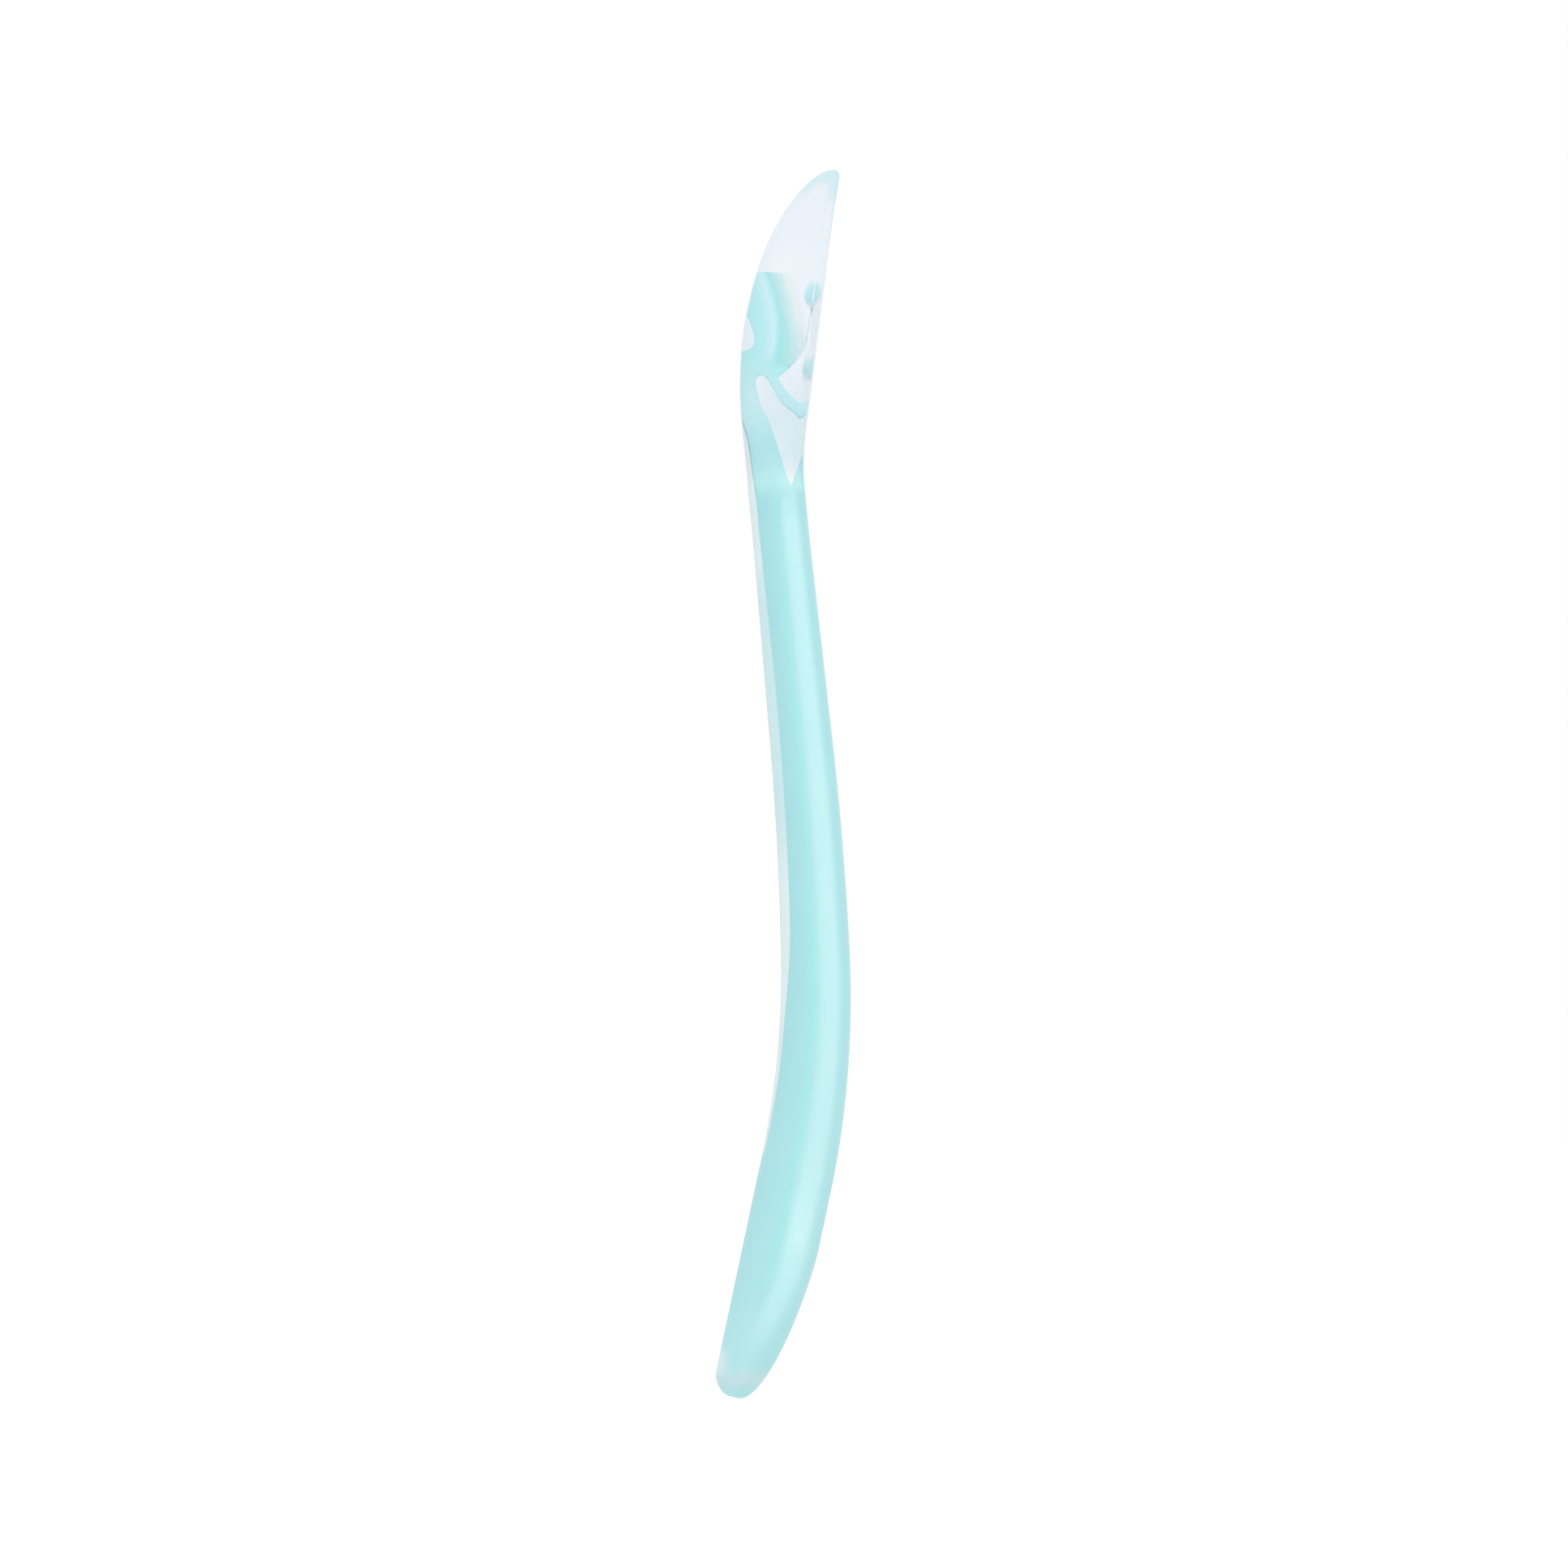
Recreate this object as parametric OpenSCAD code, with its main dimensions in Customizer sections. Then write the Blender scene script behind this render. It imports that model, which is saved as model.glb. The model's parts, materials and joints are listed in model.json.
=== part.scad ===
// Bendable saliva ejector tip, in millimetres.
// The tail points down along -Z and goes into the suction valve. The tube then
// bends towards -X, and the hooded inlet at its top opens towards +X.
// The object is the same on both sides of the XZ plane.
// A soft wire in a clear spine lets the tube take a bend and keep it, so the
// tube is drawn as a chain of short lengths that hinge about Y.

/* [Tube] */
// Outside diameter of the tail spigot
tail_d = 7.44; // [6.8:0.02:8.4]
// Outside diameter where the tube enters the head
neck_d = 5.6; // [5.2:0.05:6.4]
// Thickness of the tube's wall
wall = 1.4; // [1.25:0.05:1.5]

/* [Tail] */
// Length of the straight spigot above the nose
spigot_len = 9.4; // [6:0.1:16]
// Length of the drawn-in nose below the spigot
nose_len = 13.4; // [9:0.1:16]
// Radius of the nose's rounded end on the -X side, which stays straight above it
nose_corner_r = 2.4; // [2:0.1:3]
// How gently the nose starts to draw in on the +X side, where 1 is a straight slope
nose_start_power = 1.2; // [1.1:0.05:2]
// How the nose closes on the +X side, where 0.5 is as round as an ellipse
nose_close_power = 0.49; // [0.4:0.01:0.6]
// Diameter of the outlet in the nose's end
outlet_d = 1.4; // [1.2:0.1:3.4]
// Radius of the tube's lower bend, at the centreline
bend_r = 90; // [70:1:140]
// Angle that the lower bend turns through
bend_sweep = 13.25; // [8:0.25:18]

/* [Bending lengths] */
// Length of each short length in the lower bending zone
link_len = 6.4; // [5:0.1:9]
// Bow between one length and the next at rest
link_turn = 1.1; // [0:0.1:2]
// Length of the straight shaft
shaft_len = 17.7; // [12:0.1:26]
// Length of the neck between the shaft and the head
neck_len = 4.8; // [4:0.1:8]
// Gap at each hinge, which closes on the inside of a full bend
hinge_gap = 0.5; // [0.45:0.01:0.6]

/* [Spine and wire] */
// Depth of the clear spine at its middle
spine_depth = 0.95; // [0.85:0.01:1.05]
// Diameter of the wire
wire_d = 0.6; // [0.4:0.02:0.64]
// Plastic left between the wire and the outside
wire_cover = 0.26; // [0.2:0.01:0.3]
// Space all round the wire
wire_fit = 0.02; // [0.01:0.01:0.04]
// Length of wire held in the tail and in the head
wire_anchor = 3; // [2:0.1:4]

/* [Hood] */
// Height of the hood's tip above the upper hinge
hood_top = 36.2; // [32:0.05:40]
// Length of the tip's straight top edge, behind the mouth's plane
tip_len = 1; // [0.6:0.05:1.4]
// Height where the hood's sleeve starts
sleeve_z = 5; // [4:0.1:6]
// Width of the hood across its widest part
hood_w = 7.8; // [7:0.1:9]
// Thickness of the hood
hood_wall = 0.45; // [0.35:0.01:0.55]
// Lean of the mouth's plane away from the tube's axis
mouth_lean = 13.15; // [10:0.05:15]
// Height where the mouth's lower lip lies
mouth_heel = 15.6; // [14:0.1:18]
// Height where the mouth ends, below the tip
mouth_top = 34.6; // [30:0.1:34.8]
// Depth of solid plastic in the hood's tip
tip_solid = 1.4; // [1:0.1:2]
// Width of the mouth's opening
mouth_w = 5.2; // [4.4:0.1:5.4]

/* [Strainer] */
// Thickness of the strainer inside the hood
strainer_wall = 0.55; // [0.4:0.01:0.7]
// Space between the strainer and the hood
strainer_fit = 0.05; // [0.03:0.01:0.08]
// Height of the paddle's straight top edge
paddle_z = 26.9; // [25:0.1:29]
// Drop of that edge from the back to the front
paddle_drop = 0.7; // [0:0.1:1]
// Height where the paddle's front edge comes nearest to the mouth
bulge_z = 19.4; // [18.4:0.1:20.4]
// Space between that edge and the hood's front there
bulge_gap = 1.75; // [1.6:0.05:2.2]
// Height of the low point of the V-shaped window
window_low = 5.5; // [5.2:0.1:6.5]
// Height of the window's round top
window_top = 16.75; // [16:0.05:17.2]
// Radius of the window's round top
window_r = 0.6; // [0.4:0.05:0.7]
// Height where the window's lower edge reaches the front
sill_z = 9.9; // [9:0.1:10.4]
// Height of the fork between the diagonal bar and the prong
fork_z = 12.9; // [12.6:0.1:13.4]
// Height of the diagonal bar's end, below the fork
bar_end = 1.25; // [1:0.05:1.6]
// Height of the prong's tip
prong_top = 25.5; // [22:0.1:26]
// Depth of the prong behind the hood's front
prong_depth = 0.9; // [0.85:0.05:1.3]
// Height of the middle of the notch in the paddle's back
notch_z = 21; // [20:0.1:22]
// Length of the notch
notch_len = 3.8; // [3:0.1:4.4]
// Depth of the notch behind the hood's back
notch_depth = 0.9; // [0.8:0.05:1.2]
// Height where the clear spine runs out in the head
spine_top_z = 12.7; // [10:0.1:14]

/* [Hidden] */

// Colours
aqua = [0.62, 0.87, 0.88];
clear = [0.86, 0.93, 0.96, 0.6];
tinned = [0.78, 0.8, 0.82];

// Facets on round pieces and on the swept and lofted ones
$fn = 64;
sweep_sides = 40;
bend_steps = 8;
nose_steps = 12;
loft_sides = 36;
loft_steps = 18;
curve_steps = 24;

// How far cutting shapes reach past what they cut
over = 1;

// The chain of lengths above the tail: how long each is, and how far it leans
lengths = [link_len, link_len, link_len, shaft_len, neck_len];
leans = [for (turn = [1, 2, 3, 4, 4, 4]) bend_sweep + turn * link_turn];
HEAD = len(lengths);
NECK = HEAD - 1;
SHAFT = NECK - 1;
LINK_3 = SHAFT - 1;
LINK_2 = LINK_3 - 1;
LINK_1 = LINK_2 - 1;

// Place of hinge k, and its distance along the tube from the spigot's lower end
bend_len = bend_r * bend_sweep * PI / 180;
function hinge_x(k) =
    k == 0 ? bend_r * (cos(bend_sweep) - 1)
    : hinge_x(k - 1) - lengths[k - 1] * sin(leans[k - 1]);
function hinge_z(k) =
    k == 0 ? spigot_len + bend_r * sin(bend_sweep)
    : hinge_z(k - 1) + lengths[k - 1] * cos(leans[k - 1]);
function hinge_s(k) =
    k == 0 ? spigot_len + bend_len
    : hinge_s(k - 1) + lengths[k - 1];

// The tube tapers evenly from the spigot to the head
tail_r = tail_d / 2;
neck_r = neck_d / 2;
taper = (tail_r - neck_r) / (hinge_s(HEAD) - spigot_len);
taper_angle = atan(taper);
function tube_r(s) = s < spigot_len ? tail_r : max(neck_r, tail_r - taper * (s - spigot_len));
half_gap = hinge_gap / 2;
wire_r = wire_d / 2;
wire_depth = wire_cover + wire_r;

// Draws in the frame of the length above hinge k, with +Z along its axis
module above_hinge(k)
    translate([hinge_x(k), 0, hinge_z(k)])
        rotate([0, -leans[k], 0])
            children();

// Draws in the frame of the tail's upper end
module tail_end()
    translate([hinge_x(0), 0, hinge_z(0)])
        rotate([0, -bend_sweep, 0])
            children();

// An outline in X and Z, carried through in Y
module side_prism(points, width)
    rotate([90, 0, 0])
        linear_extrude(height = width, center = true)
            polygon(points);

// A solid through a stack of rings that have the same number of points
module loft(rings) {
    n = len(rings[0]);
    last = len(rings) - 1;
    sides = [
        for (i = [0:last - 1], j = [0:n - 1])
            let (a = i * n + j, b = i * n + (j + 1) % n)
                each [[a, a + n, b + n], [a, b + n, b]]
    ];
    bottom = [for (j = [0:n - 1]) j];
    top = [for (j = [n - 1:-1:0]) last * n + j];
    polyhedron([for (ring = rings) each ring], concat(sides, [bottom, top]));
}

// Tapered lengths of tube

// A length's outside, or its bore when inset by the wall, from z = low to high
module cone_length(k, low, high, inset = 0)
    translate([0, 0, low])
        cylinder(
            h = high - low,
            r1 = tube_r(hinge_s(k) + low) - inset,
            r2 = tube_r(hinge_s(k) + high) - inset
        );

// What lies on the spine's side of the flat that the tube has on its back
module spine_side(k, low, high) {
    low_flat = spine_depth - tube_r(hinge_s(k) + low);
    high_flat = spine_depth - tube_r(hinge_s(k) + high);
    side_prism([[low_flat, low], [high_flat, high], [-tail_d, high], [-tail_d, low]], 2 * tail_d);
}

// The wire, or its hole when it is grown by the fit
module wire_length(k, low, high, fit = 0)
    translate([wire_depth - tube_r(hinge_s(k) + low), 0, low])
        rotate([0, taper_angle, 0])
            cylinder(h = high - low, r = wire_r + fit);

module tube_length(k)
    color(aqua)
        above_hinge(k)
            difference() {
                cone_length(k, half_gap, lengths[k] - half_gap);
                cone_length(k, -over, lengths[k] + over, wall);
                spine_side(k, -over, lengths[k] + over);
            }

module spine_length(k)
    color(clear)
        above_hinge(k)
            difference() {
                intersection() {
                    cone_length(k, half_gap, lengths[k] - half_gap);
                    spine_side(k, -over, lengths[k] + over);
                }
                wire_length(k, -over, lengths[k] + over, wire_fit);
            }

module wire_piece(k)
    color(tinned)
        above_hinge(k)
            wire_length(k, half_gap, lengths[k] - half_gap);

// Tail: spigot, nose and lower bend

// The many-sided bend and nose are this much slimmer than the round spigot that
// they run into, so that their edges don't graze it
flat_step = 0.06;

// A ring moved along Z
function moved(ring, dz) = [for (point = ring) point + [0, 0, dz]];

// A ring square to the bend at angle a from the spigot, inset from the outside
function bend_ring(a, inset) =
    let (r = tube_r(spigot_len + bend_len * a / bend_sweep) - inset - flat_step)
        [
            for (j = [0:sweep_sides - 1])
                let (turn = 360 * j / sweep_sides, reach = bend_r + r * cos(turn))
                    [reach * cos(a) - bend_r, r * sin(turn), spigot_len + reach * sin(a)]
        ];

// Angle left off the bend's top for the hinge's half gap
gap_angle = half_gap / bend_len * bend_sweep;

module bend_solid(inset, past)
    loft(concat(
        [moved(bend_ring(0, inset), -over)],
        [
            for (i = [0:bend_steps])
                bend_ring((bend_sweep - gap_angle + past) * i / bend_steps, inset)
        ]
    ));

// The nose at depth d: straight on the -X side, then rounded at its end, and
// drawn in on the +X side from the spigot on, slowly first and fastest at the end
nose_tip_x = nose_corner_r - tail_r;
function nose_left(d) =
    nose_tip_x - sqrt(max(0, pow(nose_corner_r, 2) - pow(max(0, d - nose_len + nose_corner_r), 2)));
function nose_right(d) =
    let (drawn = max(0, 1 - pow(d / nose_len, nose_start_power)))
        nose_tip_x + (tail_r - nose_tip_x) * pow(drawn, nose_close_power);
outlet_r = outlet_d / 2;
function nose_ring(d, inset) =
    let (
        middle = (nose_left(d) + nose_right(d)) / 2,
        reach = (nose_right(d) - nose_left(d)) / 2 - flat_step,
        r = inset == 0 ? reach : max(outlet_r, reach - inset)
    )
        [
            for (j = [0:sweep_sides - 1])
                let (turn = 360 * j / sweep_sides)
                    [middle + r * cos(turn), r * sin(turn), -d]
        ];

// Rings from the nose's end up into the spigot, closer together at the end
end_flat = 0.05;
module nose_solid(inset) {
    rings = [
        for (i = [0:nose_steps])
            nose_ring((nose_len - end_flat) * cos(90 * i / nose_steps), inset)
    ];
    loft(concat(
        inset == 0 ? [] : [moved(rings[0], -over)],
        rings,
        [moved(rings[nose_steps], over)]
    ));
}

module tail_solid() {
    cylinder(h = spigot_len, r = tail_r);
    bend_solid(0, 0);
    nose_solid(0);
}

// The spine in the tail thins out from below the wire's end to the spigot
spine_full = (wire_anchor + over + half_gap) / bend_len * bend_sweep;
function tail_spine_depth(a) = spine_depth * min(1, a / (bend_sweep - spine_full));
function tail_side(a, reach) =
    [(bend_r - reach) * cos(a) - bend_r, spigot_len + (bend_r - reach) * sin(a)];
module tail_spine_side()
    side_prism(
        concat(
            [
                for (i = [0:curve_steps + 2])
                    let (a = (bend_sweep - spine_full) * i / curve_steps)
                        let (r = tube_r(spigot_len + bend_len * a / bend_sweep))
                            tail_side(a, r - tail_spine_depth(a))
            ],
            [tail_side(bend_sweep + spine_full, tube_r(hinge_s(0)) - spine_depth)],
            [tail_side(bend_sweep + spine_full, tail_d)],
            [tail_side(0, tail_d)]
        ),
        2 * tail_d
    );

module tail_wire_length(low, high, fit)
    tail_end()
        translate([wire_depth - tube_r(hinge_s(0)), 0, low])
            cylinder(h = high - low, r = wire_r + fit);

module tail_tube()
    color(aqua)
        difference() {
            tail_solid();
            cylinder(h = spigot_len, r = tail_r - wall);
            bend_solid(wall, gap_angle);
            nose_solid(wall);
            tail_spine_side();
        }

module tail_spine()
    color(clear)
        difference() {
            intersection() {
                bend_solid(0, 0);
                tail_spine_side();
            }
            tail_wire_length(-half_gap - wire_anchor, over, wire_fit);
        }

module tail_wire()
    color(tinned)
        tail_wire_length(-half_gap - wire_anchor, -half_gap, 0);

// Head: its outline in the frame of the upper hinge

// The front leaves the tube's line, then runs straight along the mouth's plane
flare_z = 4.5;
flare_len = 6.9;
mouth_slope = tan(mouth_lean);
function front_x(z) =
    z < flare_z ? neck_r
    : z < flare_z + flare_len ? neck_r + mouth_slope * pow(z - flare_z, 2) / (2 * flare_len)
    : neck_r + mouth_slope * (z - flare_z - flare_len / 2);

// The back is straight up to the shoulder, then arches over to the tip's top edge
shoulder_z = 12;
arch_power = 0.65;
tip_reach = front_x(hood_top) - tip_len;
function back_x(z) =
    z < shoulder_z ? -neck_r
    : let (climb = (z - shoulder_z) / (hood_top - shoulder_z))
        tip_reach - (tip_reach + neck_r) * pow(max(0, 1 - climb * climb), arch_power);

// Half the width: the tube's, swelling to the hood's, then closing at the tip
widest_z = 17;
swell_z = 4;
function ease(t) = let (u = min(1, max(0, t))) u * u * (3 - 2 * u);
function half_width(z) =
    z < widest_z ? neck_r + (hood_w / 2 - neck_r) * ease((z - swell_z) / (widest_z - swell_z))
    : hood_w / 2 * sqrt(max(0, 1 - pow((z - widest_z) / (hood_top - widest_z), 2)));

// How round the front is: as the tube at the neck, and nearly flat at the mouth
mouth_round = 0.3;
least_round = 0.15;
tip_round_share = 0.4;
function front_round(z) =
    min(
        neck_r + (mouth_round - neck_r) * ease((z - flare_z) / flare_len),
        tip_round_share * (front_x(z) - back_x(z))
    );

// Two half ellipses that meet at the widest point of the section
function head_ring(z, inset) =
    let (
        front_reach = max(least_round, front_round(z) - inset),
        middle = front_x(z) - inset - front_reach,
        back_reach = middle - back_x(z) - inset
    )
        [
            for (j = [0:loft_sides - 1])
                let (turn = 360 * j / loft_sides)
                    [
                        middle + (cos(turn) > 0 ? front_reach : back_reach) * cos(turn),
                        (half_width(z) - inset) * sin(turn),
                        z
                    ]
        ];

// Rings lie closer together towards the tip, where the form turns fastest
module head_form(low, high, inset)
    loft([for (i = [0:loft_steps]) head_ring(low + (high - low) * sin(90 * i / loft_steps), inset)]);

// Hood
tip_flat = 0.06;
mouth_middle = (mouth_heel + mouth_top) / 2;
mouth_half = (mouth_top - mouth_heel) / 2 / cos(mouth_lean);
lip_clear = 0.2;
lip_depth = hood_wall + strainer_fit + strainer_wall + lip_clear;

// The mouth is an oval, square to its own plane
module mouth_cut()
    translate([front_x(mouth_middle), 0, mouth_middle])
        rotate([0, mouth_lean, 0])
            rotate([0, 90, 0])
                translate([0, 0, -lip_depth])
                    linear_extrude(height = lip_depth + over)
                        polygon([
                            for (i = [0:2 * curve_steps - 1])
                                let (a = 180 * i / curve_steps)
                                    [mouth_half * cos(a), mouth_w / 2 * sin(a)]
                        ]);

module hood()
    color(clear)
        above_hinge(HEAD)
            difference() {
                head_form(sleeve_z, hood_top - tip_flat, 0);
                head_form(sleeve_z - over, hood_top - tip_solid, hood_wall);
                mouth_cut();
            }

// Strainer: a tube below, and a cut-out sleeve inside the hood above
strainer_inset = hood_wall + strainer_fit;

// Points of its side view, measured from the hood's front or back at height z
function behind_front(gap, z) = [front_x(z) - gap, z];
function before_back(gap, z) = [back_x(z) + gap, z];
function arc(x, z, r, from, to, step) = [for (a = [from:step:to]) [x + r * cos(a), z + r * sin(a)]];

// The three-cornered gap between the bar, the prong and the paddle ends in a round
// corner, level with the window's top
gap_x = 2.2;
gap_r = 0.65;
bulb_len = 2.2;
bulb_reach = 1.05;
paddle_lean = 2.6;

// The whole side view: tube, prong with its thicker tip, bar, and paddle
strainer_outline = concat(
    [[-tail_d, -over], [tail_d, -over], [tail_d, mouth_heel]],
    [
        behind_front(0, prong_top - bulb_reach),
        behind_front(prong_depth, prong_top),
        behind_front(prong_depth + bulb_reach, prong_top - bulb_len / 3),
        behind_front(prong_depth, prong_top - bulb_len),
        behind_front(prong_depth, fork_z)
    ],
    arc(gap_x, window_top - gap_r, gap_r, -150, -240, -30),
    [
        behind_front(bulge_gap, bulge_z - gap_r),
        behind_front(bulge_gap, bulge_z),
        behind_front(bulge_gap + paddle_lean, paddle_z - paddle_drop),
        [-tail_d, paddle_z]
    ]
);

// A V between the tube and the bar, open at the front
window_x = -0.4;
window_set = 1.2;
bar_z = fork_z - bar_end;
v_window = concat(
    [
        behind_front(window_set, window_low),
        behind_front(0, sill_z),
        [tail_d, sill_z],
        [tail_d, bar_z],
        behind_front(strainer_inset + strainer_wall / 2, bar_z)
    ],
    arc(window_x, window_top - window_r, window_r, 30, 180, 30)
);

// Half a lens in the paddle's back edge
back_notch = concat(
    [[-tail_d, notch_z + notch_len / 2], [-tail_d, notch_z - notch_len / 2]],
    [for (a = [-90:18:90]) before_back(notch_depth * cos(a), notch_z + notch_len / 2 * sin(a))]
);

module strainer_blank()
    difference() {
        union() {
            cone_length(HEAD, half_gap, sleeve_z);
            head_form(sleeve_z, paddle_z + over, strainer_inset);
        }
        cone_length(HEAD, -over, sleeve_z + over, wall);
        head_form(sleeve_z + strainer_wall, paddle_z + over + over, strainer_inset + strainer_wall);
    }

// The spine's flat, which rises to the outside of the strainer at its top
module head_spine_side()
    side_prism(
        [
            [spine_depth - neck_r, -over], [spine_depth - neck_r, sleeve_z],
            [strainer_inset - neck_r, spine_top_z], [-tail_d, spine_top_z], [-tail_d, -over]
        ],
        2 * tail_d
    );

module strainer()
    color(aqua)
        above_hinge(HEAD)
            difference() {
                intersection() {
                    strainer_blank();
                    side_prism(strainer_outline, 2 * tail_d);
                }
                side_prism(v_window, 2 * tail_d);
                side_prism(back_notch, 2 * tail_d);
                head_spine_side();
                mouth_cut();
            }

module head_spine()
    color(clear)
        above_hinge(HEAD)
            difference() {
                intersection() {
                    strainer_blank();
                    head_spine_side();
                }
                wire_length(HEAD, -over, half_gap + wire_anchor, wire_fit);
            }

module head_wire()
    color(tinned)
        above_hinge(HEAD)
            wire_length(HEAD, half_gap, half_gap + wire_anchor);

tail_tube();
tail_spine();
tail_wire();
tube_length(LINK_1);  // link_1_tube
spine_length(LINK_1);  // link_1_spine
wire_piece(LINK_1);  // link_1_wire
tube_length(LINK_2);  // link_2_tube
spine_length(LINK_2);  // link_2_spine
wire_piece(LINK_2);  // link_2_wire
tube_length(LINK_3);  // link_3_tube
spine_length(LINK_3);  // link_3_spine
wire_piece(LINK_3);  // link_3_wire
tube_length(SHAFT);  // shaft_tube
spine_length(SHAFT);  // shaft_spine
wire_piece(SHAFT);  // shaft_wire
tube_length(NECK);  // neck_tube
spine_length(NECK);  // neck_spine
wire_piece(NECK);  // neck_wire
strainer();
hood();
head_spine();
head_wire();
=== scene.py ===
"""Looks of a bendable saliva ejector tip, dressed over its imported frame."""
import json
import math

import bmesh
import bpy
import numpy as np
from mathutils import Matrix, Vector

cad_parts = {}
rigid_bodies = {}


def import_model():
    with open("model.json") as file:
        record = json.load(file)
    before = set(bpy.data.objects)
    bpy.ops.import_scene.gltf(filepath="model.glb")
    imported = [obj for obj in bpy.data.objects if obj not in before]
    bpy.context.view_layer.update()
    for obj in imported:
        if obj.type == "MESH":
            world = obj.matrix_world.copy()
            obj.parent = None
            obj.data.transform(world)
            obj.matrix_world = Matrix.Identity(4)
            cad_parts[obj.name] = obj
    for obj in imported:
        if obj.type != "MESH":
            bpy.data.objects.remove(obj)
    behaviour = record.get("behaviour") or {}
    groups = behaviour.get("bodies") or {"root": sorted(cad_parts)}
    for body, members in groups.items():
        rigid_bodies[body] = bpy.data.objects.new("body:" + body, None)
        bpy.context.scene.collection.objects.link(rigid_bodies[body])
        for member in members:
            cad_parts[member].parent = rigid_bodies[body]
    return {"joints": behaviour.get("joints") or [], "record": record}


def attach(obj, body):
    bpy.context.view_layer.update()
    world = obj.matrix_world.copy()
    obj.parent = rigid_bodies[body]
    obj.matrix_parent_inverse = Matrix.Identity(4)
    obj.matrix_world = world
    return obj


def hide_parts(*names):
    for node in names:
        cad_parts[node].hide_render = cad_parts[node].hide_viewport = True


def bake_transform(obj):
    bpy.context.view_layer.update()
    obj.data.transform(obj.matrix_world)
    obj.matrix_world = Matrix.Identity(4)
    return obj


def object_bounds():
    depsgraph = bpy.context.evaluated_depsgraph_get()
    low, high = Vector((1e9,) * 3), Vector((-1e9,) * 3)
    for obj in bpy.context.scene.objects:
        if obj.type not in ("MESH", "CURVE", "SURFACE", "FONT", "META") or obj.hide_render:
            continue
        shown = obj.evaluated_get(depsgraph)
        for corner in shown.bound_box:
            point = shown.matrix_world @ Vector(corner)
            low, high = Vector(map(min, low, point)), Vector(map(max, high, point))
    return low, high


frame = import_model()
cad_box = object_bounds()

# Tube
# One soft aqua vinyl tube, moulded with a gentle S and drawn in to a nose at its tail.
# It is thinnest at the neck, and a flat along its back takes the clear spine.
# It bends at six places, so it is cut half way between them.

MM = 0.001
spigot = frame["record"]["mounts"][0]["dims"]
tail_r = spigot["r_mm"]
spigot_len = spigot["length_mm"]
neck_r = 2.8
tube_wall = 1.4
nose_len = 13.4
nose_corner_r = 2.4
nose_lead = 2.4
nose_start_power = 1.4
nose_close_power = 0.46
outlet_r = 0.7

hinges = np.array([joint["pos_m"] for joint in frame["joints"]]) / MM
joined = [(joint["parent"], joint["child"]) for joint in frame["joints"]]
steps = np.diff(hinges, axis=0)
lengths = np.hypot(steps[:, 0], steps[:, 2])
leans = np.arctan2(-steps[:, 0], steps[:, 2])
bend_lean = 2 * leans[0] - leans[1]
bend_r = hinges[0, 0] / (math.cos(bend_lean) - 1)
bend_len = bend_r * bend_lean
hinge_s = spigot_len + bend_len + np.concatenate([[0], np.cumsum(lengths)])
head_s = hinge_s[-1]

# The tube's lean grows evenly round the lower bend, and eases from one length to the next
turn_ease = 1.6
turn_s = hinge_s[:4]
lean_s = np.concatenate([[spigot_len], np.column_stack([turn_s - turn_ease, turn_s + turn_ease]).ravel()])
lean_below = np.concatenate([[bend_lean * (1 - turn_ease / bend_len)], leans[:3]])
lean_at = np.concatenate([[0], np.column_stack([lean_below, leans[:4]]).ravel()])
path_low = -20
path_high = 120
path_rows = 14001
path_s = np.linspace(path_low, path_high, path_rows)
path_lean = np.interp(path_s, lean_s, lean_at)
path_step = path_s[1] - path_s[0]
path_x = -np.cumsum(np.sin(path_lean)) * path_step
path_z = np.cumsum(np.cos(path_lean)) * path_step
path_z = path_z - np.interp(0, path_s, path_z)


def place(s, front, side):
    """Points in metres: s along the tube's curved middle line, front towards the mouth and side along Y."""
    lean = np.interp(s, path_s, path_lean)
    x = np.interp(s, path_s, path_x) + front * np.cos(lean)
    z = np.interp(s, path_s, path_z) + front * np.sin(lean)
    return np.stack(np.broadcast_arrays(x, side, z), axis=-1) * MM


def spine_depth(s):
    """Depth of the clear spine: thin above the spigot, full past the lower bend, less at the neck."""
    places = [spigot_len, spigot_len + 2, hinge_s[0] - 5, hinge_s[0] + 3, hinge_s[4] - 9, head_s]
    depths = [0.02, 0.2, 0.48, 0.96, 1.0, 0.72]
    return np.interp(s, places, depths)


def tube_section(s):
    """Middle and radius of the tube's round outside. At the nose the left side runs straight down to a
    quarter circle, and the right side draws in to the same low point, fastest at the end."""
    r = np.interp(s, [spigot_len, head_s], [tail_r, neck_r])
    low_x = nose_corner_r - tail_r
    corner = np.clip(nose_corner_r - nose_len - s, 0, nose_corner_r)
    left = low_x - np.sqrt(nose_corner_r**2 - corner**2)
    depth = np.clip((nose_lead - s) / (nose_lead + nose_len), 0, 1)
    right = low_x + (tail_r - low_x) * (1 - depth**nose_start_power) ** nose_close_power
    nose = s < nose_lead
    return np.where(nose, (left + right) / 2, 0), np.where(nose, (right - left) / 2, r)


def grid_faces(rows, columns, first=0, wrap=True):
    """Four-sided faces of a grid of points that is numbered row by row, closed round each row if wrapped."""
    i = np.arange(rows - 1)[:, None]
    j = np.arange(columns if wrap else columns - 1)[None, :]
    a = first + i * columns + j
    b = first + i * columns + (j + 1) % columns
    return np.stack([a, b, b + columns, a + columns], axis=-1).reshape(-1, 4)


merge_dist = 0.0004 * MM
sliver_dist = 0.0002 * MM


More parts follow.
